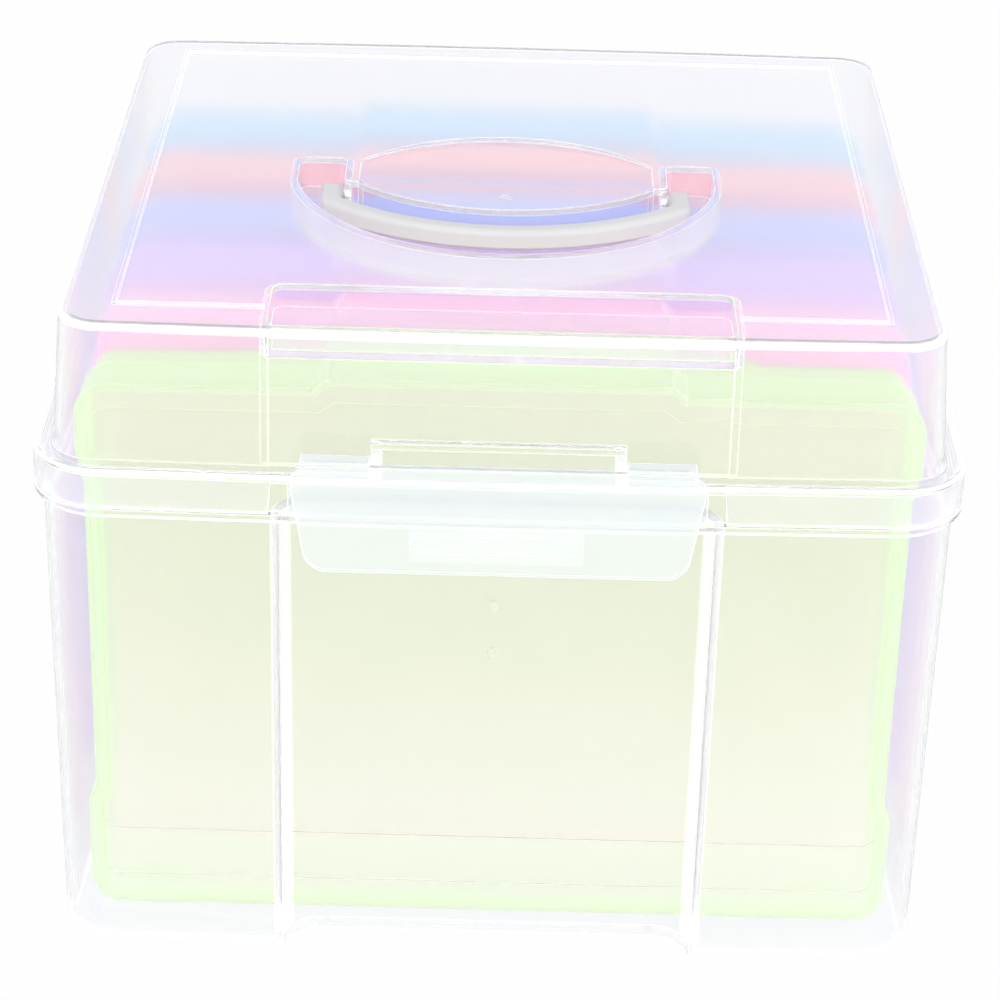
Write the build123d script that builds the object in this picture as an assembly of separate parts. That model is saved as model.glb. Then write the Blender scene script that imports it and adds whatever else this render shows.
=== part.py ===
"""Photo keeper case: a clear moulded carry box with a hinged lid that holds six photo cases.

Millimetres, +Z up. The front, with the latch, faces -Y, and the origin is the middle of the base.
The photo cases stand on their long edges, one behind the other, with their faces to the front.
Every size is written once here; what fits into or onto another piece is worked out from it.
"""
from build123d import *
import math
import os

# ---- photo cases: the contents that size the box ----
case_colours = ["green", "pink", "violet", "blue", "coral", "light_blue"]  # front to back
case_half_w = 95.0          # half of the long edge, at the corners
case_height = 138.0         # short edge, standing up
case_thick = 25.0           # cover and tray closed
case_gap = 5.1              # air between two cases
case_wall = 1.4             # side walls of the cover and the tray
case_face = 2.0             # front face of the cover
cover_depth = 13.0          # how much of the thickness the cover takes
nest_depth = 3.0            # how far the tray's wall reaches into the cover
nest_clear = 0.5            # between the cover's wall and the tray's wall
waist_depth = 1.8           # finger waist in each short edge
waist_low = 34.0            # height where the waist starts, above the case's bottom edge
waist_top_margin = 24.0     # from the waist's upper end to the case's top edge
waist_slope = 5.0           # height of the slope at each end of the waist
bump_base_half_w = 41.5     # opening tab on the top edge, at its foot
bump_top_half_w = 38.2      # and at its crest
bump_height = 2.5
case_top_r = 8.0            # upper corners of a case
case_bottom_r = 7.0         # lower corners
case_edge_chamfer = 1.2     # edge around each big face
panel_side = 3.2            # border beside the sunk front panel
panel_top = 5.4             # border above it
panel_bottom = 8.8          # border below it
panel_depth = 0.4
inner_panel_bottom = 21.5   # the panel steps down once more above this height
knuckle_inset = 15.0        # hinge stations under the case, in from its sides
knuckle_w = 9.0
knuckle_depth = 3.2         # front to back, behind the cover
knuckle_drop = 1.6          # how far a knuckle hangs below the case
knuckle_chamfer = 0.8
case_ear_w = 1.6            # tray ears each side of a cover knuckle

# ---- box body ----
wall = 1.9
floor_thick = 2.2
side_clear = 4.68           # case to side wall, at the floor
rear_clear = 7.75           # last case to rear wall
front_clear = 0.6           # first case to the back of the front channel
stand_clear = 0.3           # case knuckles to the floor
channel_depth = 9.35        # hollow down the middle of the front
channel_half_w = 48.3
channel_r = 9.0             # round where the channel's sides meet its floor
wall_height = 118.0         # height of the ledge that the lid's skirt stops over
body_draft = 0.95           # how much further out each wall is at the ledge
wall_bow = 1.5              # front and rear walls stand out this much at the middle
body_corner_r = 14.0
foot_r = 3.0                # round under the base
ledge_w = 2.0
ledge_thick = 2.4
ledge_chamfer = 1.2
rim_height = 7.6            # plain rim above the ledge, inside the lid's skirt

# ---- lid ----
lid_wall = 1.8
skirt_thick = 1.6
skirt_clear = 0.4           # skirt to rim, all round
seat_clear = 0.3            # skirt to ledge, and rim to flange
flange_thick = 1.9
flange_r = 1.1
lift_room = 5.8             # above the opening tabs, under the handle pocket
dome_clear = 1.9            # case to dome wall, at the top
dome_draft = 2.25
dome_rear_clear = 4.3       # last case to the dome's rear wall
dome_corner_r = 10.0
dome_edge_r = 2.0
slot_inner_x = 46.3         # slots in the skirt beside the latch
slot_outer_x = 50.0
slot_slant = 1.0
bead_half_w = 86.0          # stacking bead on the top
bead_half_d = 83.0
bead_w = 1.0
bead_height = 0.7
well_half_w = 51.3          # well in the front of the top
well_back = 22.6            # its length, front to back
well_lip = 1.6              # wall left in front of it
well_depth = 5.6
well_r = 2.6
panel_half_w = 50.8         # sunk panel in the dome's front wall
lid_panel_depth = 0.7

# ---- handle and its pocket ----
handle_y = -3.0             # pivot line, from the middle of the lid
pocket_depth = 7.8
pocket_half_w = 50.3
pocket_back = 11.7          # pocket behind the pivot line
pocket_r = 51.0             # round front of the pocket
pocket_reach = 45.8         # front of the pocket, from the pivot line
notch_inner_x = 39.0        # side of the island between the two notches
boss_w = 3.5                # flat front beside each pivot hole
boss_front = 3.6            # that flat front, from the pivot line
boss_r = 2.0                # round of its outer corner
island_front = 19.3         # round front of the island, from the pivot line
island_r = 50.0
tub_wall = 1.6
notch_r = 2.0
dish_r = 44.3               # outline of the thumb dish
dish_back = 28.6            # back of the dish, from the pivot line
dish_tilt = 2.3             # degrees
handle_w = 5.0              # width of the bow
handle_h = 5.2              # height of the bow, folded
handle_reach = 27.0         # pivot line to the bow's outer face
handle_leg = 7.0            # straight part of each leg, long enough to swing clear of the island
handle_clear = 0.5          # leg to island
handle_round = 1.5          # upper edges
handle_chamfer = 1.0        # lower edges
handle_bend_r = 4.0         # outside of the bend where the bow meets a leg
handle_pin_r = 1.4
pin_clear = 0.1             # any pivot pin in its hole

# ---- latch ----
latch_half_w = 45.4
latch_low_half_w = 42.0
latch_drop = 11.6            # bottom of the flap below the ledge's top
latch_thick = 1.7
latch_gap = 1.8             # back of the flap to the skirt
latch_over = 4.6            # top of the flap above the flange
latch_top_r = 4.0
latch_low_r = 5.5
latch_axis_up = 2.8         # pivot line above the flange
latch_axis_in = 0.9         # pivot line behind the skirt's face
latch_barrel_r = 2.3
latch_pin_r = 1.5
lug_half_w = 28.0           # outer ends of the two hinge lugs on the lid
lug_w = 2.2
lug_play = 0.3
lug_web = 1.5
lug_top = 6.8               # top of the web above the flange
web_back = 3.1              # front of the web behind the pivot line, clear of the swinging flap
hook_half_w = 19.0
hook_height = 4.0
hook_clear = 0.3            # hook to ledge, both ways

# ---- lid hinge ----
hinge_x = 58.0
hinge_out = 3.7             # pivot line behind the skirt's face
hinge_down = 1.1            # pivot line below the skirt's lower edge
hinge_knuckle_w = 13.0
hinge_knuckle_r = 2.6
hinge_ear_w = 2.5
hinge_ear_r = 2.8
hinge_pin_r = 1.4
hinge_play = 0.3

# ---- places worked out from the sizes above ----
case_pitch = case_thick + case_gap
stack_depth = len(case_colours) * case_thick + (len(case_colours) - 1) * case_gap
base_depth = channel_depth + 2 * wall + front_clear + stack_depth + rear_clear
base_half_d = base_depth / 2
base_half_w = case_half_w + side_clear + wall
case_front_y = -base_half_d + channel_depth + wall + front_clear
case_z = floor_thick + stand_clear + knuckle_drop
bump_z = case_z + case_height + bump_height

rim_half_w = base_half_w + body_draft
rim_half_d = base_half_d + body_draft
rim_corner_r = body_corner_r + body_draft
rim_top = wall_height + rim_height
outer_half_w = rim_half_w + ledge_w
outer_half_d = rim_half_d + ledge_w
outer_corner_r = rim_corner_r + ledge_w

skirt_bottom = wall_height + seat_clear
flange_bottom = rim_top + seat_clear
flange_top = flange_bottom + flange_thick
pocket_floor_z = bump_z + lift_room + tub_wall
lid_top = pocket_floor_z + pocket_depth
dome_top_half_w = case_half_w + dome_clear + lid_wall - dome_draft / 2
dome_foot_half_w = dome_top_half_w + dome_draft
stack_rear_y = case_front_y + stack_depth
dome_top_half_d = stack_rear_y + dome_rear_clear + lid_wall - dome_draft / 4
dome_foot_half_d = dome_top_half_d + dome_draft

handle_z = pocket_floor_z + seat_clear + handle_h / 2
latch_axis_y = -outer_half_d + latch_axis_in
latch_axis_z = flange_top + latch_axis_up
flap_back_y = -outer_half_d - latch_gap
latch_bottom = wall_height - latch_drop
hinge_y = outer_half_d + hinge_out
hinge_z = skirt_bottom - hinge_down

past = 5.0                  # how far a cutting solid runs past what it cuts


def plan(half_w, half_d, corner_r, z):
    """A rounded rectangle whose front and rear edges bow outwards, lying at height z."""
    shoulder = half_d - wall_bow
    edges = (ThreePointArc((-half_w, -shoulder), (0, -half_d), (half_w, -shoulder))
             + Line((half_w, -shoulder), (half_w, shoulder))
             + ThreePointArc((half_w, shoulder), (0, half_d), (-half_w, shoulder))
             + Line((-half_w, shoulder), (-half_w, -shoulder)))
    face = make_face(edges)
    return Pos(0, 0, z) * fillet(face.vertices(), corner_r)


def prism(half_w, half_d, corner_r, z_low, z_high):
    """The plan shape with upright walls."""
    return extrude(plan(half_w, half_d, corner_r, z_low), z_high - z_low)


def tapered(low, high):
    """A solid between two plan shapes, each (half_w, half_d, corner_r, z)."""
    return loft([plan(*low).face(), plan(*high).face()], ruled=True)


def box_between(x_low, x_high, y_low, y_high, z_low, z_high):
    """A box from its corner coordinates."""
    size = (x_high - x_low, y_high - y_low, z_high - z_low)
    middle = ((x_low + x_high) / 2, (y_low + y_high) / 2, (z_low + z_high) / 2)
    return Pos(*middle) * Box(*size)


def rod(x_low, x_high, y, z, radius):
    """A cylinder along X."""
    return Pos((x_low + x_high) / 2, y, z) * Rot(0, 90, 0) * Cylinder(radius, x_high - x_low)


# ---- box body ----
def channel(grow, z_low, z_high):
    """The hollow down the front, grown by a wall thickness for the inside of the box."""
    half_w = channel_half_w + grow
    back = -base_half_d + channel_depth + grow
    front = -outer_half_d - past
    sketch = make_face(Polyline((-half_w, front), (half_w, front), (half_w, back), (-half_w, back),
                                close=True))
    inner = [v for v in sketch.vertices() if v.Y > front + 1]
    return Pos(0, 0, z_low) * extrude(fillet(inner, channel_r + grow), z_high - z_low)


def hinge_ears():
    """Two ears and the moulded pin between them at each hinge station of the lid."""
    ears = []
    reach = hinge_knuckle_w / 2 + hinge_play
    for side in (-1, 1):
        x = side * hinge_x
        pin_half = reach + hinge_ear_w / 2
        ears.append(rod(x - pin_half, x + pin_half, hinge_y, hinge_z, hinge_pin_r))
        for end in (-1, 1):
            inner = x + end * reach
            outer = inner + end * hinge_ear_w
            low_x, high_x = min(inner, outer), max(inner, outer)
            ear = rod(low_x, high_x, hinge_y, hinge_z, hinge_ear_r)
            ear += box_between(low_x, high_x, rim_half_d - wall_bow, hinge_y,
                               hinge_z - hinge_ear_r, wall_height)
            ears.append(ear)
    return ears


def make_body():
    """The clear box: drafted bowed walls, front channel, ledge, plain rim and hinge ears."""
    low = (base_half_w, base_half_d, body_corner_r, 0)
    ledge_level = (rim_half_w, rim_half_d, rim_corner_r, wall_height)
    shell = tapered(low, ledge_level)
    shell = fillet(shell.faces().sort_by(Axis.Z)[0].edges(), foot_r)
    shell += prism(rim_half_w, rim_half_d, rim_corner_r, wall_height, rim_top)
    ledge = prism(outer_half_w, outer_half_d, outer_corner_r, wall_height - ledge_thick, wall_height)
    shell += chamfer(ledge.faces().sort_by(Axis.Z)[0].edges(), ledge_chamfer)
    shell -= channel(0, -past, wall_height - ledge_thick)
    hollow = tapered((base_half_w - wall, base_half_d - wall, body_corner_r - wall, floor_thick),
                     (rim_half_w - wall, rim_half_d - wall, rim_corner_r - wall, wall_height))
    hollow += prism(rim_half_w - wall, rim_half_d - wall, rim_corner_r - wall,
                    wall_height, rim_top + past)
    hollow -= channel(wall, -past, wall_height - ledge_thick + wall)
    shell -= hollow
    for ear in hinge_ears():
        shell += ear
    return shell


# ---- lid ----
def pocket_plan():
    """Outline of the handle pocket: a round front, and a notch each side of the island."""
    back = handle_y + pocket_back
    front = handle_y - pocket_reach
    centre_y = front + pocket_r
    side = centre_y - math.sqrt(pocket_r ** 2 - pocket_half_w ** 2)
    boss_x = notch_inner_x - boss_w
    boss_y = handle_y - boss_front
    nose = handle_y - island_front
    nose_side = nose + island_r - math.sqrt(island_r ** 2 - boss_x ** 2)
    left_side = Polyline((-pocket_half_w, side), (-pocket_half_w, back), (-notch_inner_x, back),
                         (-notch_inner_x, boss_y), (-boss_x, boss_y), (-boss_x, nose_side))
    right_side = mirror(left_side, Plane.YZ)
    island = ThreePointArc((-boss_x, nose_side), (0, nose), (boss_x, nose_side))
    bowl = ThreePointArc((-pocket_half_w, side), (0, front), (pocket_half_w, side))
    sketch = make_face(left_side + island + right_side + bowl)
    boss_corners = [v for v in sketch.vertices()
                    if abs(v.Y - boss_y) < 0.01 and abs(abs(v.X) - notch_inner_x) < 0.01]
    sketch = fillet(boss_corners, boss_r)
    rear_corners = [v for v in sketch.vertices() if v.Y > back - 0.1]
    return fillet(rear_corners, notch_r)


def dish():
    """Thumb dish in the island: a lens outline, sunk deepest at its back edge."""
    centre_y = handle_y + dish_back - dish_r
    nose_centre_y = handle_y - island_front + island_r
    lens = Pos(0, centre_y) * Circle(dish_r) & Pos(0, nose_centre_y) * Circle(island_r)
    lens &= Pos(0, centre_y) * Rectangle(2 * (notch_inner_x - boss_w), 4 * dish_r)
    cutter = Pos(0, 0, lid_top - pocket_depth) * extrude(lens, pocket_depth + past)
    floor_block = Box(4 * dish_r, 4 * dish_r, pocket_depth, align=(Align.CENTER, Align.CENTER, Align.MAX))
    tilted = Pos(0, handle_y - boss_front, lid_top) * Rot(-dish_tilt, 0, 0) * floor_block
    return cutter - tilted


def well_plan(grow):
    """Outline of the well in the front of the top, grown by a wall thickness for its tub."""
    front = -dome_top_half_d + wall_bow / 3 + lid_panel_depth + well_lip
    middle = front + well_back / 2
    sketch = RectangleRounded(2 * (well_half_w + grow), well_back + 2 * grow, well_r + grow)
    return Pos(0, middle) * sketch


def front_panel(grow):
    """Cutter for the sunk panel in the dome's front wall; grown, it thickens the wall inside."""
    depth = dome_foot_half_d + past
    top = lid_top - dome_edge_r
    foot_y = -dome_foot_half_d + lid_panel_depth + grow
    top_y = -dome_top_half_d + lid_panel_depth + grow
    side = Polyline((foot_y, flange_top), (top_y, top + grow), (-depth, top + grow),
                    (-depth, flange_top), close=True)
    half = panel_half_w + grow
    return Pos(-half, 0, 0) * extrude(Plane.YZ * make_face(side), 2 * half)


def latch_bracket():
    """Two lugs with pin holes, and the web that joins them, on the dome's front wall."""
    web_top = flange_top + lug_top
    web_front = latch_axis_y + web_back
    root_y = -dome_foot_half_d + lid_panel_depth + lid_wall / 2
    nose = latch_axis_y - latch_barrel_r
    bracket = box_between(-lug_half_w, lug_half_w, web_front, root_y, web_top - lug_web, web_top)
    for side in (-1, 1):
        outer = side * lug_half_w
        inner = side * (lug_half_w - lug_w)
        low_x, high_x = min(outer, inner), max(outer, inner)
        profile = make_face(Polyline((root_y, flange_top - 0.1), (latch_axis_y, flange_top - 0.1),
                                     (nose, latch_axis_z), (web_front, web_top - lug_web),
                                     (root_y, web_top - lug_web), close=True))
        lug = Pos(low_x, 0, 0) * extrude(Plane.YZ * profile, high_x - low_x)
        lug += rod(low_x, high_x, latch_axis_y, latch_axis_z, latch_barrel_r)
        lug -= rod(low_x - 1, high_x + 1, latch_axis_y, latch_axis_z, latch_pin_r + pin_clear)
        bracket += lug
    return bracket


def lid_knuckle(side):
    """Arm and knuckle that turn on the body's moulded pin."""
    x_low = side * hinge_x - hinge_knuckle_w / 2
    x_high = x_low + hinge_knuckle_w
    knuckle = rod(x_low, x_high, hinge_y, hinge_z, hinge_knuckle_r)
    knuckle += box_between(x_low, x_high, outer_half_d - skirt_thick / 2 - wall_bow,
                           hinge_y + hinge_knuckle_r, skirt_bottom, skirt_bottom + 2 * hinge_knuckle_r)
    outer_edge = knuckle.edges().filter_by(Axis.X).group_by(Axis.Z)[-1].sort_by(Axis.Y)[-1]
    knuckle = chamfer(outer_edge, hinge_knuckle_r)
    return knuckle


def skirt_slot(side):
    """Slot in the skirt beside the latch, slanted on its outer end."""
    inner = side * slot_inner_x
    front = -outer_half_d - past
    outline = make_face(Polyline((inner, skirt_bottom - past), (inner, flange_bottom),
                                 (side * slot_outer_x, flange_bottom),
                                 (side * (slot_outer_x + slot_slant), skirt_bottom - past), close=True))
    return Pos(0, front + 3 * past, 0) * extrude(Plane.XZ * outline, 3 * past)


def make_lid():
    """The clear lid: dome, flange and skirt, with the pocket, well, bead and hinge parts."""
    foot = (dome_foot_half_w, dome_foot_half_d, dome_corner_r, flange_bottom)
    top = (dome_top_half_w, dome_top_half_d, dome_corner_r, lid_top)
    dome = tapered(foot, top)
    dome = fillet(dome.faces().sort_by(Axis.Z)[-1].edges(), dome_edge_r)
    flange = prism(outer_half_w, outer_half_d, outer_corner_r, skirt_bottom, flange_top)
    flange = fillet(flange.faces().sort_by(Axis.Z)[-1].edges(), flange_r)
    flange -= prism(outer_half_w - skirt_thick, outer_half_d - skirt_thick,
                    outer_corner_r - skirt_thick, skirt_bottom - past, flange_bottom)
    lid = dome + flange - front_panel(0)
    hollow_foot = (dome_foot_half_w - lid_wall, dome_foot_half_d - lid_wall,
                   dome_corner_r - lid_wall, flange_bottom)
    hollow_top = (dome_top_half_w - lid_wall, dome_top_half_d - lid_wall,
                  dome_corner_r - lid_wall, lid_top - lid_wall)
    hollow = tapered(hollow_foot, hollow_top) - front_panel(lid_wall)
    hollow = hollow + prism(*hollow_foot[:3], flange_bottom - 1, flange_bottom)
    lid -= hollow
    pocket = pocket_plan()
    lid += Pos(0, 0, pocket_floor_z - tub_wall) * extrude(offset(pocket, tub_wall), pocket_depth)
    lid -= Pos(0, 0, pocket_floor_z) * extrude(pocket, pocket_depth + past)
    well_floor_z = lid_top - well_depth
    lid += Pos(0, 0, well_floor_z - tub_wall) * extrude(well_plan(tub_wall), well_depth)
    lid -= Pos(0, 0, well_floor_z) * extrude(well_plan(0), well_depth + past)
    lid -= dish()
    for side in (-1, 1):
        hole = rod(min(side * notch_inner_x, side * (notch_inner_x - 2 * tub_wall)),
                   max(side * notch_inner_x, side * (notch_inner_x - 2 * tub_wall)),
                   handle_y, handle_z, handle_pin_r + pin_clear)
        lid -= hole
        lid -= skirt_slot(side)
        lid += lid_knuckle(side)
        lid -= rod(side * hinge_x - hinge_knuckle_w, side * hinge_x + hinge_knuckle_w,
                   hinge_y, hinge_z, hinge_pin_r + pin_clear)
    bead = Rectangle(2 * bead_half_w, 2 * bead_half_d)
    bead -= Rectangle(2 * (bead_half_w - bead_w), 2 * (bead_half_d - bead_w))
    bead -= well_plan(bead_w)
    lid += Pos(0, 0, lid_top - 0.2) * extrude(bead, bead_height + 0.2)
    lid += latch_bracket()
    return lid


# ---- handle ----
def bow_arc(half_w, radius, centre_y):
    """Arc of the bow between its two legs, and the Y where it meets them."""
    side_y = centre_y - math.sqrt(radius ** 2 - half_w ** 2)
    return ThreePointArc((-half_w, side_y), (0, centre_y - radius), (half_w, side_y)), side_y


def make_handle():
    """The grey bow that lies folded forward in the pocket, with a pivot pin at each end."""
    inner_x = notch_inner_x + handle_clear
    outer_x = inner_x + handle_w
    tip_y = handle_y + handle_h / 2
    sag = handle_reach - handle_w - handle_leg
    inner_r = (inner_x ** 2 + sag ** 2) / (2 * sag)
    centre_y = handle_y - handle_leg - sag + inner_r
    outer_arc, outer_side = bow_arc(outer_x, inner_r + handle_w, centre_y)
    inner_arc, inner_side = bow_arc(inner_x, inner_r, centre_y)
    outline = outer_arc + inner_arc
    for side in (-1, 1):
        outline += Line((side * outer_x, outer_side), (side * outer_x, tip_y))
        outline += Line((side * inner_x, inner_side), (side * inner_x, tip_y))
        outline += Line((side * inner_x, tip_y), (side * outer_x, tip_y))
    sketch = make_face(outline)
    for x, radius in ((outer_x, handle_bend_r), (inner_x, handle_bend_r / 2)):
        bends = [v for v in sketch.vertices() if abs(abs(v.X) - x) < 0.01 and v.Y < tip_y - 1]
        sketch = fillet(bends, radius)
    handle = Pos(0, 0, handle_z - handle_h / 2) * extrude(sketch, handle_h)
    handle = fillet(handle.faces().sort_by(Axis.Z)[-1].edges(), handle_round)
    handle = chamfer(handle.faces().sort_by(Axis.Z)[0].edges(), handle_chamfer)
    round_end = rod(-outer_x, outer_x, handle_y, handle_z, handle_h / 2)
    round_end += box_between(-outer_x, outer_x, handle_y - 2 * handle_reach, handle_y,
                             handle_z - handle_h / 2, handle_z + handle_h / 2)
    handle &= round_end
    for side in (-1, 1):
        tip_x = side * (notch_inner_x - tub_wall)
        root_x = side * (inner_x + handle_w / 2)
        handle += rod(min(tip_x, root_x), max(tip_x, root_x), handle_y, handle_z, handle_pin_r)
    return handle


# ---- latch ----
def make_latch():
    """The milky flap that hangs over the skirt, with its barrels, pins and hook."""
    top = flange_top + latch_over
    outline = make_face(Polyline((-latch_low_half_w, latch_bottom), (latch_low_half_w, latch_bottom),
                                 (latch_half_w, flange_bottom), (latch_half_w, top),
                                 (-latch_half_w, top), (-latch_half_w, flange_bottom), close=True))
    low = [v for v in outline.vertices() if v.Y < latch_bottom + 1]
    outline = fillet(low, latch_low_r)
    high = [v for v in outline.vertices() if v.Y > top - 1]
    outline = fillet(high, latch_top_r)
    latch = Pos(0, flap_back_y, 0) * extrude(Plane.XZ * outline, latch_thick)
    barrel_low = lug_half_w + lug_play
    barrel_high = latch_half_w - latch_top_r / 2
    for side in (-1, 1):
        x_low = min(side * barrel_low, side * barrel_high)
        x_high = max(side * barrel_low, side * barrel_high)
        latch += rod(x_low, x_high, latch_axis_y, latch_axis_z, latch_barrel_r)
        latch += box_between(x_low, x_high, flap_back_y - latch_thick / 2, latch_axis_y,
                             latch_axis_z, latch_axis_z + latch_barrel_r)
        pin_tip = side * (lug_half_w - lug_w)
        latch += rod(min(pin_tip, side * barrel_high), max(pin_tip, side * barrel_high),
                     latch_axis_y, latch_axis_z, latch_pin_r)
    hook_top = wall_height - ledge_thick - hook_clear
    latch += box_between(-hook_half_w, hook_half_w, flap_back_y - latch_thick / 2,
                         -outer_half_d - hook_clear, hook_top - hook_height, hook_top)
    return latch


# ---- photo cases ----
def case_outline(side, top, bottom):
    """Face outline of a photo case in X and Z, moved in by a border on the sides, top and bottom."""
    half = case_half_w - side
    waist = half - waist_depth
    roof = case_height - top
    waist_high = case_height - waist_top_margin
    points = [(-bump_base_half_w + side / 2, roof), (-bump_top_half_w + side / 2, roof + bump_height)]
    corner_l = [(-half, roof), (-half, waist_high + waist_slope), (-waist, waist_high),
                (-waist, waist_low), (-half, waist_low - waist_slope), (-half, bottom)]
    left = list(reversed(points)) + corner_l
    right = [(-x, z) for x, z in reversed(left)]
    face = make_face(Polyline(*left, *right, close=True))
    tops = [v for v in face.vertices() if abs(abs(v.X) - half) < 0.01 and v.Y > roof - 0.01]
    face = fillet(tops, max(case_top_r - side, 1.5))
    lows = [v for v in face.vertices() if abs(abs(v.X) - half) < 0.01 and v.Y < bottom + 0.01]
    return fillet(lows, max(case_bottom_r - side, 1.5))


def slab(outline, y_low, y_high):
    """An outline extruded between two depths, front to back."""
    return Pos(0, y_high, 0) * extrude(Plane.XZ * outline, y_high - y_low)


def face_chamfer(solid, front):
    """Break the edge around the big face at the front or the back."""
    face = solid.faces().sort_by(Axis.Y)[0 if front else -1]
    return chamfer(face.outer_wire().edges(), case_edge_chamfer)


def case_lug(x_low, width, front, top):
    """Knuckle of a photo case: a block under its lower edge, its free edge chamfered."""
    block = box_between(x_low, x_low + width, front, cover_depth + knuckle_depth, -knuckle_drop, top)
    free_edge = block.edges().filter_by(Axis.X).group_by(Axis.Y)[-1].sort_by(Axis.Z)[0]
    return chamfer(free_edge, knuckle_chamfer)


def make_cover():
    """Front half of a photo case, its face to the front, at the case's own origin."""
    cover = face_chamfer(slab(case_outline(0, 0, 0), 0, cover_depth), True)
    cover -= slab(case_outline(case_wall, case_wall, case_wall), case_face, cover_depth + past)
    cover -= slab(case_outline(panel_side, panel_top, panel_bottom), -past, panel_depth)
    cover -= slab(case_outline(panel_side, panel_top, inner_panel_bottom), -past, 2 * panel_depth)
    for side in (-1, 1):
        x_low = side * (case_half_w - knuckle_inset) - knuckle_w / 2
        cover += case_lug(x_low, knuckle_w, cover_depth - case_wall, case_wall)
    return cover


def make_tray():
    """Rear half of a photo case, its wall nested inside the cover's."""
    inset = case_wall + nest_clear
    front = cover_depth - nest_depth
    tray = face_chamfer(slab(case_outline(inset, inset, inset), front, case_thick), False)
    inner = inset + case_wall
    tray -= slab(case_outline(inner, inner, inner), front - past, case_thick - case_wall)
    reach = knuckle_w / 2 + lug_play
    for side in (-1, 1):
        x = side * (case_half_w - knuckle_inset)
        for ear_x in (x - reach - case_ear_w, x + reach):
            tray += case_lug(ear_x, case_ear_w, cover_depth + nest_clear, inset + case_wall / 2)
    return tray


def main():
    """Build every piece and write one STEP file for each node."""
    pieces = {
        "case_body": make_body(),
        "lid": make_lid(),
        "carry_handle": make_handle(),
        "front_latch": make_latch(),
    }
    cover = make_cover()
    tray = make_tray()
    for index, colour in enumerate(case_colours):
        place = Pos(0, case_front_y + index * case_pitch, case_z)
        pieces[f"photo_case_{colour}_cover"] = place * cover
        pieces[f"photo_case_{colour}_tray"] = place * tray
    os.makedirs("parts", exist_ok=True)
    for name, solid in pieces.items():
        export_step(solid, f"parts/{name}.step")
        box = solid.bounding_box()
        print(name, "solids", len(solid.solids()), "box", box.min, box.max)


main()
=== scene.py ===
"""Looks of the photo keeper case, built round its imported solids.

Metres, +Z up, the front with the latch faces -Y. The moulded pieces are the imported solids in
clear, tinted, milky and grey polypropylene. The small gate marks that the moulds leave are
added here.
"""
import logging
import math
from dataclasses import dataclass, replace
from enum import Enum
from typing import Any, Sequence

import bmesh
import bpy
from mathutils import Matrix, Vector


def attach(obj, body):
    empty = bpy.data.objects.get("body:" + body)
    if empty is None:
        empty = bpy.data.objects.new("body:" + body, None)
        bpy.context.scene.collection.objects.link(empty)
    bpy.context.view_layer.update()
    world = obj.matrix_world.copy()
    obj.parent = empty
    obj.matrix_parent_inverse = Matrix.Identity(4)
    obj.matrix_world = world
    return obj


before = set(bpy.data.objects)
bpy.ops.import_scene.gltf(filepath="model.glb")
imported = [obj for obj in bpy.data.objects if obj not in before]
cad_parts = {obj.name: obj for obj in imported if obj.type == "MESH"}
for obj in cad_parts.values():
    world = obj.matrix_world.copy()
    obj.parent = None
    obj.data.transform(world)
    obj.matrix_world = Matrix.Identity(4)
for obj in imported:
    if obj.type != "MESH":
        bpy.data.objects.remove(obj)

LOG = logging.getLogger("photo_keeper_case")
MM = 0.001

# Shares of the normal's length between which a mask runs from 0 to 1.
ARRIS_AGREEMENT = (0.985, 0.85)    # rounded normal against the wall's own
FACE_TO_RIM = (0.98, 0.6)          # normal along Y: a big face, then a rim
WALL_TO_ROUND = (0.12, 0.4)        # normal along Z: an upright wall, then a round
TOP_TO_ROUND = (0.97, 0.8)         # normal along Z: a flat top, then a round

RIM_DEPTH = 0.8                    # share of the edge colour on a rim
RIM_PAINTED_GLOW = 0.7                    # share of the painted edge glow on the rims of a case
PAINTED_GROUND_LIGHT_SHARE = 0.95                # share of the painted ground light at the ground
PAINTED_GROUND_LIGHT_COLOUR = "FEFDF6"            # sRGB of the painted light from the ground
SHEEN_ROUGHNESS = 0.35
BUMP_STRENGTH = 0.6

Colour = tuple[float, float, float, float]


def linear(hex_colour: str) -> Colour:
    """Turn an sRGB hex colour into linear RGBA.

    Args:
        hex_colour: six hex digits, with or without a leading #.

    Returns:
        Red, green, blue and an alpha of 1, linear.
    """
    digits = hex_colour.lstrip("#")
    shares = [int(digits[i:i + 2], 16) / 255 for i in (0, 2, 4)]
    red, green, blue = (s / 12.92 if s <= 0.04045 else ((s + 0.055) / 1.055) ** 2.4
                        for s in shares)
    return red, green, blue, 1.0


def add_node(
    tree: bpy.types.NodeTree,
    kind: str,
    settings: dict[str, Any] | None = None,
    links: dict[str | int, bpy.types.NodeSocket] | None = None,
) -> bpy.types.Node:
    """Add one node, with its settings and the sockets that feed it.

    Args:
        tree: node tree to add to.
        kind: Blender's type name of the node.
        settings: input names or numbers with their values, or names of the node's own properties.
        links: input names or numbers with the output sockets that feed them.

    Returns:
        The new node.
    """
    node = tree.nodes.new(kind)
    for name, value in (settings or {}).items():
        if isinstance(name, int) or name in node.inputs:
            node.inputs[name].default_value = value
        else:
            setattr(node, name, value)
    for name, source in (links or {}).items():
        tree.links.new(source, node.inputs[name])
    return node


def blank_material(name: str) -> bpy.types.Material:
    """Make a material with an empty node tree."""
    material = bpy.data.materials.new(name)
    material.use_nodes = True
    material.node_tree.nodes.clear()
    return material


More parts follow.
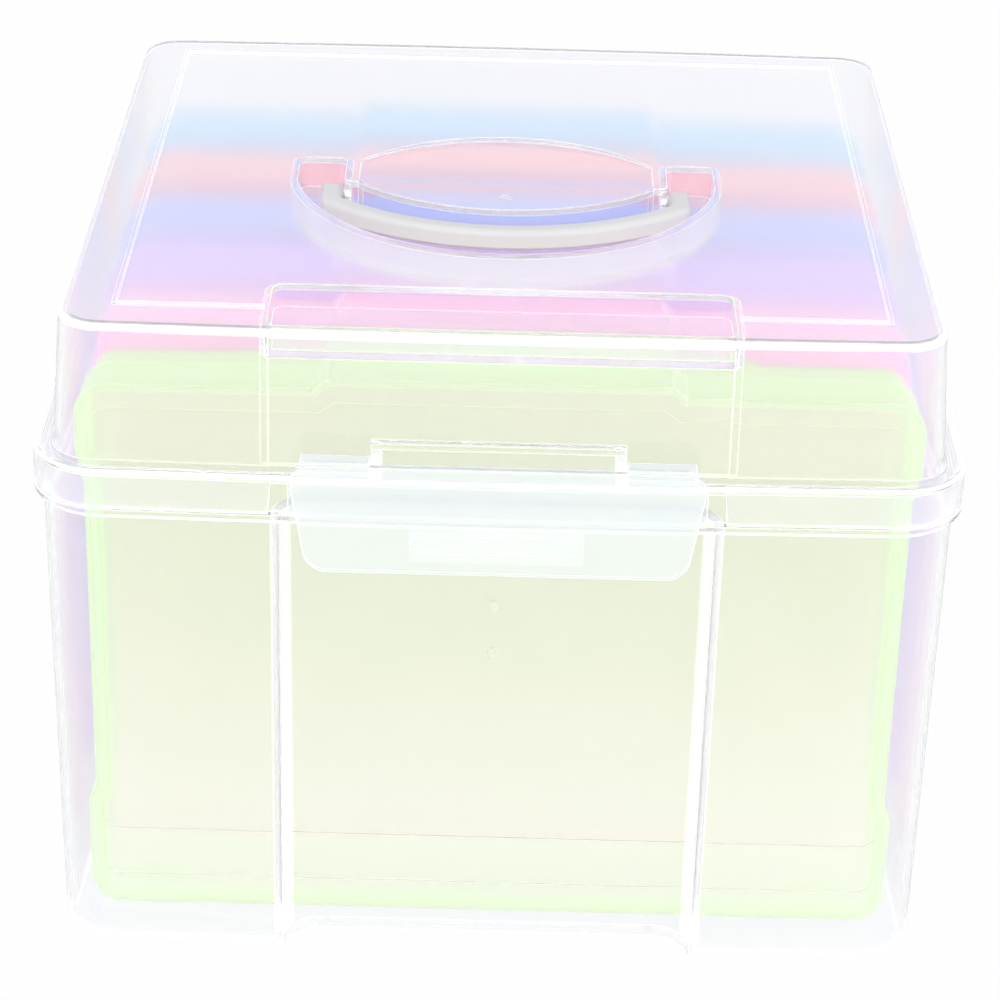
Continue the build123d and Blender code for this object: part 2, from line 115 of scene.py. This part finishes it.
def node_math(
    tree: bpy.types.NodeTree,
    operation: str,
    first: bpy.types.NodeSocket,
    second: bpy.types.NodeSocket | float,
) -> bpy.types.NodeSocket:
    """Add one step of arithmetic.

    Args:
        tree: node tree to add to.
        operation: Blender's name of the operation.
        first: first value.
        second: second value, a socket or a plain number.

    Returns:
        The result.
    """
    if isinstance(second, float):
        return add_node(tree, "ShaderNodeMath", {"operation": operation, 1: second},
                        {0: first}).outputs[0]
    return add_node(tree, "ShaderNodeMath", {"operation": operation},
                    {0: first, 1: second}).outputs[0]


def ramp(
    tree: bpy.types.NodeTree,
    value: bpy.types.NodeSocket,
    start: float,
    end: float,
    top: float = 1.0,
) -> bpy.types.NodeSocket:
    """Turn a value into a share that grows smoothly.

    Args:
        tree: node tree to add to.
        value: the value.
        start: value at which the share is 0.
        end: value at which the share is top.
        top: the highest share.

    Returns:
        The share.
    """
    return add_node(tree, "ShaderNodeMapRange",
                    {"From Min": start, "From Max": end, "To Min": 0.0, "To Max": top,
                     "interpolation_type": "SMOOTHSTEP"}, {"Value": value}).outputs["Result"]


@dataclass(frozen=True)
class CaseOutline:
    """Border of a photo case's big face, where its side walls stand behind the face."""

    half_width: float = 95.0       # mm
    bottom: float = 4.1            # mm, lower edge over the ground
    waist: float = 1.8             # mm, depth of the finger waist in each side
    waist_low: float = 38.1        # mm, its lower end
    waist_high: float = 118.1      # mm, its upper end
    slope: float = 5.0             # mm
    band: float = 3.4              # mm, width of the deeper border
    soft: float = 1.6              # mm over which the border fades
    low_band: float = 4.5          # mm, width of the border along the bottom
    strength: float = 0.6          # share of the edge colour on the border

    def share(
        self, tree: bpy.types.NodeTree, place: bpy.types.NodeSocket
    ) -> bpy.types.NodeSocket:
        """Find the border in the case's own X and Z.

        Args:
            tree: the material's node tree.
            place: position in the frame.

        Returns:
            A share that is 1 on the border and 0 inside it.
        """
        parts = add_node(tree, "ShaderNodeSeparateXYZ", {}, {0: place})
        across, height = parts.outputs["X"], parts.outputs["Z"]
        out = add_node(tree, "ShaderNodeMath", {"operation": "ABSOLUTE"}, {0: across}).outputs[0]
        in_low = ramp(tree, height, (self.waist_low - self.slope) * MM, self.waist_low * MM,
                      self.waist * MM)
        past_high = ramp(tree, height, self.waist_high * MM, (self.waist_high + self.slope) * MM,
                         self.waist * MM)
        drawn_in = node_math(tree, "SUBTRACT", in_low, past_high)
        from_middle = node_math(tree, "ADD", out, drawn_in)
        inner = self.half_width - self.band
        side = ramp(tree, from_middle, (inner - self.soft) * MM, inner * MM)
        top_of_low = self.bottom + self.low_band
        low = ramp(tree, height, (top_of_low + self.soft) * MM, top_of_low * MM)
        return node_math(tree, "MULTIPLY", node_math(tree, "MAXIMUM", side, low), self.strength)


@dataclass(frozen=True)
class PaintedGlowPlace:
    """A place, the same left and right, that carries more painted glow, standing in for a
    highlight.
    """

    across: tuple[float, float]    # mm, nearest and farthest from the middle
    along: tuple[float, float]     # mm, front and rear
    height: tuple[float, float]    # mm, bottom and top
    strength: float                # share of the painted edge glow
    soft: float = 0.5              # mm over which it fades inwards

    def share(
        self, tree: bpy.types.NodeTree, place: bpy.types.NodeSocket
    ) -> bpy.types.NodeSocket:
        """Find the place in the piece.

        Args:
            tree: the material's node tree.
            place: position in the frame.

        Returns:
            A share that reaches the place's strength inside it.
        """
        parts = add_node(tree, "ShaderNodeSeparateXYZ", {}, {0: place})
        out = add_node(tree, "ShaderNodeMath", {"operation": "ABSOLUTE"},
                       {0: parts.outputs["X"]}).outputs[0]
        inside = None
        for value, (low, high) in ((out, self.across), (parts.outputs["Y"], self.along),
                                   (parts.outputs["Z"], self.height)):
            for start, end in ((low - self.soft, low), (high + self.soft, high)):
                step = ramp(tree, value, start * MM, end * MM)
                inside = node_math(tree, "MULTIPLY", inside, step) if inside else step
        return node_math(tree, "MULTIPLY", inside, self.strength)


@dataclass(frozen=True)
class MouldedPolypropylene:
    """Injection-moulded polypropylene, from water-clear to milky to opaque.

    The plastic's natural haze gives the eye a soft, slightly blurred view through each wall. Its
    edges, rounds and a few given places carry a painted glow, an emission that stands in for
    highlights, and a tinted wall seen edge-on looks deeper in colour. A tint can be painted paler
    towards the ground, as painted light from the white ground. Slow flow waves from the mould bend
    reflections a little.
    """

    name: str
    pale: str                      # sRGB where the plastic is lightest
    deep: str                      # sRGB where flow marks deepen it
    clearness: float               # share of light that passes instead of scattering
    rough_low: float = 0.06
    rough_high: float = 0.12
    ior: float = 1.49              # polypropylene
    flow_pitch: float = 22.0       # mm between flow waves
    flow_rise: float = 0.02        # mm, height of a flow wave
    grain_pitch: float = 0.9       # mm between specks of haze
    frost: float = 0.0             # sheen of the fine mould texture where a wall turns away
    frost_tint: str = "FFFFFF"     # sRGB of that sheen
    edge: str = ""                 # sRGB of walls that stand on edge to the big faces, if deeper
    edge_width: float = 0.45       # mm of soft arris along every edge: rougher, and carrying the painted glow
    edge_rough: float = 0.5        # its roughness
    painted_edge_glow: float = 0.0         # painted glow: emission on edges and rims that stands in for highlights
    painted_glow_colour: str = "F4FAFF"      # sRGB of the painted glow
    painted_ground_light_height: float = 0.0       # mm over which painted light from the ground pales the tint
    outline: CaseOutline | None = None   # whose border shows the side wall behind it, and carries painted glow
    rounds_painted_glow: float = 0.0        # share of the painted glow on rounds and chamfers
    place_of_painted_glow: PaintedGlowPlace | None = None    # where more painted glow is put
    passes_lamps: bool = True      # lamps reach what the wall shuts in

    def material(self) -> bpy.types.Material:
        """Build the node material.

        Returns:
            The finished material.
        """
        material = blank_material(self.name)
        tree = material.node_tree
        place = add_node(tree, "ShaderNodeTexCoord").outputs["Object"]
        flow = add_node(tree, "ShaderNodeTexNoise",
                        {"Scale": 1 / (self.flow_pitch * MM), "Detail": 2.0, "Roughness": 0.45},
                        {"Vector": place}).outputs["Fac"]
        grain = add_node(tree, "ShaderNodeTexNoise",
                         {"Scale": 1 / (self.grain_pitch * MM), "Detail": 3.0}, {"Vector": place})
        colour = add_node(tree, "ShaderNodeMix",
                          {"data_type": "RGBA", 6: linear(self.pale), 7: linear(self.deep)},
                          {0: flow}).outputs[2]
        arris = self._arris(tree)
        # The painted glow, an emission standing in for highlights, goes on the arris, the rims and
        # the border.
        tint_and_painted_glow_share = arris
        if self.edge:
            tint_and_painted_glow_share = self._rims(tree, arris)
            colour = self._mix_edge(tree, colour, tint_and_painted_glow_share)
        # Painted light from the ground: the tint turns paler and whiter towards the ground.
        if self.painted_ground_light_height:
            colour = self._paint_ground_light(tree, colour, place)
        if self.outline:
            border = self.outline.share(tree, place)
            colour = self._mix_edge(tree, colour, border)
            # The rims and the border also get the painted glow.
            rims = node_math(tree, "MULTIPLY", tint_and_painted_glow_share, RIM_PAINTED_GLOW)
            tint_and_painted_glow_share = node_math(tree, "MAXIMUM", rims, border)
        haze = add_node(tree, "ShaderNodeMapRange",
                        {"To Min": self.rough_low, "To Max": self.rough_high},
                        {"Value": grain.outputs["Fac"]}).outputs["Result"]
        rough = add_node(tree, "ShaderNodeMix", {3: self.edge_rough},
                         {0: arris, 2: haze}).outputs[0]
        bump = add_node(tree, "ShaderNodeBump",
                        {"Strength": BUMP_STRENGTH, "Distance": self.flow_rise * MM},
                        {"Height": flow})
        body = add_node(tree, "ShaderNodeBsdfPrincipled",
                        {"Transmission Weight": self.clearness, "IOR": self.ior,
                         "Sheen Weight": self.frost, "Sheen Roughness": SHEEN_ROUGHNESS,
                         "Sheen Tint": linear(self.frost_tint),
                         "Emission Color": linear(self.painted_glow_colour)},
                        {"Base Color": colour, "Roughness": rough,
                         "Normal": bump.outputs["Normal"]})
        # Painted glow: an emission that stands in for highlights on edges, rims and given places.
        if self.painted_edge_glow:
            glow = self._sum_painted_glow(tree, tint_and_painted_glow_share, place)
            tree.links.new(glow, body.inputs["Emission Strength"])
        surface = body.outputs["BSDF"]
        if self.passes_lamps:
            surface = self._let_lamps_through(tree, surface)
        add_node(tree, "ShaderNodeOutputMaterial", {}, {"Surface": surface})
        return material

    def _arris(self, tree: bpy.types.NodeTree) -> bpy.types.NodeSocket:
        """Find the edges of the piece: where a rounded normal turns away from the wall's own.

        Args:
            tree: the material's node tree.

        Returns:
            A share that is 1 along the edges and 0 on the open walls.
        """
        rounded = add_node(tree, "ShaderNodeBevel", {"samples": 2, "Radius": self.edge_width * MM})
        flat = add_node(tree, "ShaderNodeNewGeometry").outputs["True Normal"]
        agree = add_node(tree, "ShaderNodeVectorMath", {"operation": "DOT_PRODUCT"},
                         {0: rounded.outputs[0], 1: flat}).outputs["Value"]
        flush, turned = ARRIS_AGREEMENT
        return add_node(tree, "ShaderNodeMapRange",
                        {"From Min": flush, "From Max": turned, "To Min": 0.0, "To Max": 1.0},
                        {"Value": agree}).outputs["Result"]

    def _sum_painted_glow(
        self,
        tree: bpy.types.NodeTree,
        tint_and_painted_glow_share: bpy.types.NodeSocket,
        place: bpy.types.NodeSocket,
    ) -> bpy.types.NodeSocket:
        """Add up the painted glow, an emission that stands in for highlights.

        Args:
            tree: the material's node tree.
            tint_and_painted_glow_share: share that is 1 along the edges, rims and steps.
            place: position in the frame.

        Returns:
            The strength of the painted glow.
        """
        if self.rounds_painted_glow:
            facing = add_node(tree, "ShaderNodeTexCoord").outputs["Normal"]
            rise = add_node(tree, "ShaderNodeSeparateXYZ", {}, {0: facing}).outputs["Z"]
            steep = add_node(tree, "ShaderNodeMath", {"operation": "ABSOLUTE"},
                             {0: rise}).outputs[0]
            slanted = node_math(tree, "MULTIPLY", ramp(tree, steep, *WALL_TO_ROUND),
                                ramp(tree, steep, *TOP_TO_ROUND, self.rounds_painted_glow))
            tint_and_painted_glow_share = node_math(tree, "MAXIMUM", tint_and_painted_glow_share, slanted)
        if self.place_of_painted_glow:
            tint_and_painted_glow_share = node_math(tree, "MAXIMUM", tint_and_painted_glow_share, self.place_of_painted_glow.share(tree, place))
        return node_math(tree, "MULTIPLY", tint_and_painted_glow_share, self.painted_edge_glow)

    def _rims(
        self, tree: bpy.types.NodeTree, arris: bpy.types.NodeSocket
    ) -> bpy.types.NodeSocket:
        """Find rims, steps and chamfers, where the tint is deeper and the painted glow goes.

        Args:
            tree: the material's node tree.
            arris: share that is 1 along the edges.

        Returns:
            A share that is 0 on the big faces, which look along Y.
        """
        facing = add_node(tree, "ShaderNodeTexCoord").outputs["Normal"]
        along = add_node(tree, "ShaderNodeSeparateXYZ", {}, {0: facing}).outputs["Y"]
        size = add_node(tree, "ShaderNodeMath", {"operation": "ABSOLUTE"}, {0: along}).outputs[0]
        return node_math(tree, "MAXIMUM", ramp(tree, size, *FACE_TO_RIM, RIM_DEPTH), arris)

    def _mix_edge(
        self,
        tree: bpy.types.NodeTree,
        colour: bpy.types.NodeSocket,
        share: bpy.types.NodeSocket,
    ) -> bpy.types.NodeSocket:
        """Mix the deeper edge colour over the colour so far, by a share."""
        return add_node(tree, "ShaderNodeMix", {"data_type": "RGBA", 7: linear(self.edge)},
                        {0: share, 6: colour}).outputs[2]

    def _paint_ground_light(
        self,
        tree: bpy.types.NodeTree,
        colour: bpy.types.NodeSocket,
        place: bpy.types.NodeSocket,
    ) -> bpy.types.NodeSocket:
        """Paint light from the white ground into the tint, which turns paler towards the ground.

        Args:
            tree: the material's node tree.
            colour: colour so far.
            place: position in the frame.

        Returns:
            The colour, paler below.
        """
        height = add_node(tree, "ShaderNodeSeparateXYZ", {}, {0: place}).outputs["Z"]
        share = add_node(tree, "ShaderNodeMapRange",
                         {"From Min": 0.0, "From Max": self.painted_ground_light_height * MM,
                          "To Min": PAINTED_GROUND_LIGHT_SHARE,
                          "To Max": 0.0, "interpolation_type": "SMOOTHSTEP"},
                         {"Value": height}).outputs["Result"]
        return add_node(tree, "ShaderNodeMix", {"data_type": "RGBA", 7: linear(PAINTED_GROUND_LIGHT_COLOUR)},
                        {0: share, 6: colour}).outputs[2]

    def _let_lamps_through(
        self, tree: bpy.types.NodeTree, surface: bpy.types.NodeSocket
    ) -> bpy.types.NodeSocket:
        """Let shadow and diffuse rays go straight through, so that what is inside is lit.

        Args:
            tree: the material's node tree.
            surface: the shader that the eye sees.

        Returns:
            The shader with the two rays let through.
        """
        path = add_node(tree, "ShaderNodeLightPath")
        share = [channel ** 0.5 for channel in linear(self.pale)[:3]]
        film = add_node(tree, "ShaderNodeBsdfTransparent",
                        {"Color": (*share, 1.0)}).outputs["BSDF"]
        for ray in ("Is Diffuse Ray", "Is Shadow Ray"):
            surface = add_node(tree, "ShaderNodeMixShader", {},
                               {0: path.outputs[ray], 1: surface, 2: film}).outputs["Shader"]
        return surface


class CaseColour(Enum):
    """The six tints, front to back: each with its lightest, its deeper and its edge sRGB."""

    GREEN = ("green", "EEF3E0", "E8F0D6", "E2FACC")
    PINK = ("pink", "FFEAF7", "FFE2F4", "FFD0F0")
    VIOLET = ("violet", "F6E8FF", "F0DEFF", "DCC2FF")
    BLUE = ("blue", "E6ECFF", "DCE4FF", "B2C4FF")
    CORAL = ("coral", "FFE4E8", "FFD8DE", "FFC6CC")
    LIGHT_BLUE = ("light_blue", "E0F4FF", "D8F0FF", "AEE0FF")

    def __init__(self, label: str, pale: str, deep: str, edge: str) -> None:
        """Keep the tint's parts under their own names."""
        self.label = label
        self.pale = pale
        self.deep = deep
        self.edge = edge


# The clear and milky plastics carry painted glow on their edges and rounds, and more of it on
# given places: the sides of the body's front channel, a band on the lid's front and a patch on the
# flap.
CLEAR_BODY = MouldedPolypropylene(
    "clear_polypropylene_body", "FDFEFF", "FBFDFF", 0.94, rough_low=0.08, rough_high=0.10,
    grain_pitch=2.4, frost=0.8, painted_edge_glow=0.6, rounds_painted_glow=0.9,
    place_of_painted_glow=PaintedGlowPlace((46.8, 50.2), (-97.3, -90.7), (3.0, 115.0), 0.3))
CLEAR_LID = MouldedPolypropylene(
    "clear_polypropylene_lid", "FEFEFF", "FCFCFF", 0.91, rough_low=0.10, rough_high=0.13,
    grain_pitch=2.4, frost=0.6, painted_edge_glow=0.6, rounds_painted_glow=0.9,
    place_of_painted_glow=PaintedGlowPlace((0.0, 28.5), (-103.0, -98.4), (128.2, 135.6), 0.12))
MILKY = MouldedPolypropylene(
    "natural_milky_polypropylene", "F8FBFC", "F4F9FB", 0.76, rough_low=0.20, rough_high=0.24,
    frost=0.8, painted_edge_glow=0.5,
    place_of_painted_glow=PaintedGlowPlace((0.0, 19.0), (-110.0, -99.0), (109.6, 117.0), 0.07))
GREY = MouldedPolypropylene("opaque_grey_polypropylene", "DCDCDE", "D7D7D9", 0.0, rough_low=0.38,
                            rough_high=0.5, flow_pitch=9.0, grain_pitch=0.5, passes_lamps=False)


@dataclass(frozen=True)
class Owner:
    """The body that a small piece shares with its wall, and the name of the wall's material slot.
    """

    body: str
    slot: str


@dataclass
class GateMarks:
    """The small round scars that are left where the plastic entered the mould."""

    name: str
    places: Sequence[tuple[Vector, Vector]]    # centre on the wall in mm, and the outer side
    ring_radius: float = 1.5       # mm
    nub_radius: float = 0.6        # mm
    rise: float = 0.25             # mm
    sunk: float = 0.05             # mm, so that a mark grows out of the wall
    sides: int = 28

    def build(self, owner: Owner, finish: MouldedPolypropylene) -> None:
        """Build the marks of one body as one piece, in the wall's own plastic.

        Args:
            owner: body and slot of the wall.
            finish: the wall's finish.
        """
        mesh = bmesh.new()
        for centre, outward in self.places:
            turn = outward.to_track_quat("Z", "Y").to_matrix().to_4x4()
            self._mark(mesh, Matrix.Translation(centre * MM) @ turn)
        bmesh.ops.recalc_face_normals(mesh, faces=mesh.faces)
        data = bpy.data.meshes.new(self.name)
        mesh.to_mesh(data)
        mesh.free()
        data.shade_smooth()
        piece = bpy.data.objects.new(self.name, data)
        bpy.context.scene.collection.objects.link(piece)
        # The gate marks keep a weak painted glow, an emission standing in for their highlight.
        dull = replace(finish, name=f"{finish.name}_gate", edge="", painted_edge_glow=0.12,
                       rounds_painted_glow=0.0, place_of_painted_glow=None, outline=None)
        data.materials.append(dull.material())
        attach(piece, owner.body)
        LOG.info("left %s on %s", self.name, owner.body)

    def _mark(self, mesh: bmesh.types.BMesh, place: Matrix) -> None:
        """Turn a mark's profile about its axis: a nub in a shallow dip with a low ring.

        Args:
            mesh: mesh to add to.
            place: the mark's centre and direction.
        """
        dip = self.rise * 0.2
        profile = [(self.nub_radius * 0.7, self.rise), (self.nub_radius, dip),
                   (self.ring_radius * 0.75, dip), (self.ring_radius * 0.9, self.rise * 0.7),
                   (self.ring_radius, -self.sunk)]
        rings: list[list[bmesh.types.BMVert]] = []
        for radius, height in profile:
            ring = []
            for step in range(self.sides):
                turn = math.tau * step / self.sides
                point = Vector((radius * math.cos(turn), radius * math.sin(turn), height)) * MM
                ring.append(mesh.verts.new(place @ point))
            rings.append(ring)
        mesh.faces.new(rings[0])
        for upper, lower in zip(rings, rings[1:]):
            for step in range(self.sides):
                after = (step + 1) % self.sides
                mesh.faces.new((upper[step], lower[step], lower[after], upper[after]))
        mesh.faces.new(list(reversed(rings[-1])))


def dress(node: str, material: bpy.types.Material) -> None:
    """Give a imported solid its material, in each of its material slots.

    Args:
        node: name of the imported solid.
        material: the finish.
    """
    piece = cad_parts[node]
    if not piece.material_slots:
        piece.data.materials.append(material)
    for slot in piece.material_slots:
        slot.material = material
    LOG.info("dressed %s in %s", node, material.name)


@dataclass
class BoxBody:
    """The clear box that everything stands in."""

    finish: MouldedPolypropylene = CLEAR_BODY
    owner: Owner = Owner("case_body", "clear_body")
    floor_level: float = 2.2       # mm, upper side of the floor

    def build(self) -> None:
        """Dress the box, and add the gate mark in the middle of its floor."""
        dress("case_body", self.finish.material())
        upward = Vector((0.0, 0.0, 1.0))
        GateMarks("floor_gate_mark", [(Vector((0.0, 0.0, self.floor_level)), upward)],
                  ring_radius=2.2).build(self.owner, self.finish)


@dataclass
class Lid:
    """The clear lid with the milky flap and the grey carry handle."""

    finish: MouldedPolypropylene = CLEAR_LID
    latch_finish: MouldedPolypropylene = MILKY
    handle_finish: MouldedPolypropylene = GREY
    owner: Owner = Owner("lid", "clear_lid")
    mark_place: tuple[float, float, float] = (0.0, -14.4, 159.8)   # mm, front of the thumb dish

    def build(self) -> None:
        """Dress the lid, its flap and its handle, and add the lid's gate mark."""
        dress("lid", self.finish.material())
        dress("front_latch", self.latch_finish.material())
        dress("carry_handle", self.handle_finish.material())
        upward = Vector((0.0, 0.0, 1.0))
        GateMarks("lid_gate_mark", [(Vector(self.mark_place), upward)],
                  ring_radius=1.9).build(self.owner, self.finish)


@dataclass
class PhotoCase:
    """One tinted photo case: a cover in front and a tray behind."""

    tint: CaseColour
    row: int                       # 0 is the front one
    clearness: float = 0.7
    first_front: float = -86.65    # mm, front of the first case
    pitch: float = 30.1            # mm
    thick: float = 25.0            # mm
    panel_sunk: float = 0.8        # mm, the cover's inner panel behind its border
    cover_marks: tuple[float, float] = (76.1, 88.5)    # mm, heights
    tray_mark: float = 73.1        # mm, height

    def build(self) -> None:
        """Dress the cover and the tray, and add their gate marks."""
        body = f"photo_case_{self.tint.label}"
        # Each case's rims and border carry a weak painted glow in its edge colour, and its tint is
        # painted paler towards the ground as painted light from below.
        finish = MouldedPolypropylene(f"tinted_{self.tint.label}_polypropylene", self.tint.pale,
                                      self.tint.deep, self.clearness, rough_low=0.10,
                                      rough_high=0.12, grain_pitch=2.0, frost=0.4,
                                      frost_tint=self.tint.pale, edge=self.tint.edge,
                                      painted_edge_glow=0.10, painted_glow_colour=self.tint.edge,
                                      painted_ground_light_height=124.0, outline=CaseOutline())
        material = finish.material()
        for part in ("cover", "tray"):
            dress(f"{body}_{part}", material)
        front = self.first_front + self.row * self.pitch
        forward = Vector((0.0, -1.0, 0.0))
        places = [(Vector((0.0, front + self.panel_sunk, height)), forward)
                  for height in self.cover_marks]
        places.append((Vector((0.0, front + self.thick, self.tray_mark)), -forward))
        GateMarks(f"{self.tint.label}_gate_marks", places).build(
            Owner(body, f"tinted_{self.tint.label}"), finish)


@dataclass
class Studio:
    """White sweep, soft lamps and the photograph's camera."""

    eye: tuple[float, float, float] = (-0.1, -718.0, 443.8)    # mm
    pitch: float = 27.49           # degrees below the horizon
    yaw: float = -0.21
    roll: float = 1.42
    focal_pixels: float = 3164.0
    image_pixels: float = 1000.0
    centre_pixel: tuple[float, float] = (486.9, 502.2)
    sensor: float = 36.0           # mm
    sky_light: float = 0.85
    floor_half: float = 3.0        # metres
    shadow_share: float = 0.04     # how much of the paper's own shading the floor keeps

    def build(self) -> None:
        """Set up the view and the light."""
        self._camera()
        self._world()
        self._floor()
        self._lamps()
        settings = bpy.context.scene.view_settings
        settings.view_transform = "Standard"
        self._paths()

    def _camera(self) -> None:
        """Stand the camera where the photograph was taken from."""
        pitch, yaw, roll = (math.radians(a) for a in (self.pitch, self.yaw, self.roll))
        forward = Vector((math.sin(yaw) * math.cos(pitch), math.cos(yaw) * math.cos(pitch),
                          -math.sin(pitch)))
        level = Vector((math.cos(yaw), -math.sin(yaw), 0.0))
        upright = level.cross(forward)
        right = math.cos(roll) * level + math.sin(roll) * upright
        up = -math.sin(roll) * level + math.cos(roll) * upright
        data = bpy.data.cameras.new("camera")
        data.sensor_width = self.sensor
        data.lens = self.focal_pixels / self.image_pixels * self.sensor
        data.shift_x = 0.5 - self.centre_pixel[0] / self.image_pixels
        data.shift_y = self.centre_pixel[1] / self.image_pixels - 0.5
        data.clip_start, data.clip_end = 0.05, 20.0
        camera = bpy.data.objects.new("camera", data)
        turn = Matrix((right, up, -forward)).transposed().to_4x4()
        camera.matrix_world = Matrix.Translation(Vector(self.eye) * MM) @ turn
        bpy.context.scene.collection.objects.link(camera)
        bpy.context.scene.camera = camera

    def _white_for_sight(
        self, tree: bpy.types.NodeTree, other: bpy.types.NodeSocket, kind: str
    ) -> bpy.types.NodeSocket:
        """Show plain white to camera, mirror and see-through rays, and another shader to the rest.

        Args:
            tree: node tree to add to.
            other: shader that lights the object.
            kind: node type of the white shader.

        Returns:
            The mixed shader.
        """
        path = add_node(tree, "ShaderNodeLightPath")
        white = add_node(tree, kind, {"Color": (1.0, 1.0, 1.0, 1.0), "Strength": 1.0}).outputs[0]
        shader = other
        for ray in ("Is Camera Ray", "Is Glossy Ray", "Is Transmission Ray"):
            shader = add_node(tree, "ShaderNodeMixShader", {},
                              {0: path.outputs[ray], 1: shader, 2: white}).outputs["Shader"]
        return shader

    def _world(self) -> None:
        """A white surround."""
        world = bpy.data.worlds.new("white_studio")
        bpy.context.scene.world = world
        world.use_nodes = True
        tree = world.node_tree
        tree.nodes.clear()
        light = add_node(tree, "ShaderNodeBackground",
                         {"Color": (1.0, 1.0, 1.0, 1.0), "Strength": self.sky_light})
        shown = self._white_for_sight(tree, light.outputs[0], "ShaderNodeBackground")
        add_node(tree, "ShaderNodeOutputWorld", {}, {"Surface": shown})

    def _floor(self) -> None:
        """A white floor that keeps a soft shadow."""
        data = bpy.data.meshes.new("floor")
        half = self.floor_half
        corners = [(-half, -half, 0), (half, -half, 0), (half, half, 0), (-half, half, 0)]
        data.from_pydata(corners, [], [(0, 1, 2, 3)])
        floor = bpy.data.objects.new("floor", data)
        bpy.context.scene.collection.objects.link(floor)
        material = blank_material("white_paper_sweep")
        tree = material.node_tree
        paper = add_node(tree, "ShaderNodeBsdfDiffuse", {"Color": linear("F4F4F4")}).outputs[0]
        shown = self._white_for_sight(tree, paper, "ShaderNodeEmission")
        shadow = add_node(tree, "ShaderNodeMixShader", {0: self.shadow_share},
                          {1: shown, 2: paper}).outputs[0]
        add_node(tree, "ShaderNodeOutputMaterial", {}, {"Surface": shadow})
        data.materials.append(material)

    def _lamps(self) -> None:
        """A large soft lamp over the front left and a weaker one over the right."""
        for name, place, size, power in (("key_lamp", (-0.6, -1.1, 1.0), 0.9, 5.5),
                                         ("fill_lamp", (0.8, -1.0, 0.3), 0.8, 4.5)):
            data = bpy.data.lights.new(name, "AREA")
            data.size = size
            data.energy = power
            lamp = bpy.data.objects.new(name, data)
            lamp.location = place
            aim = Vector((0.0, 0.0, 0.08)) - Vector(place)
            lamp.rotation_euler = aim.to_track_quat("-Z", "Y").to_euler()
            bpy.context.scene.collection.objects.link(lamp)

    def _paths(self) -> None:
        """Let rays cross every wall of the box and the six cases."""
        cycles = bpy.context.scene.cycles
        cycles.max_bounces = 28
        cycles.transmission_bounces = 28
        cycles.transparent_max_bounces = 48
        cycles.glossy_bounces = 8
        cycles.diffuse_bounces = 2


def main() -> None:
    """Build each sub-assembly in order."""
    logging.basicConfig(level=logging.INFO)
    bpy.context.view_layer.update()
    BoxBody().build()
    Lid().build()
    for row, tint in enumerate(CaseColour):
        PhotoCase(tint, row).build()
    Studio().build()


if __name__ == "__main__":
    main()
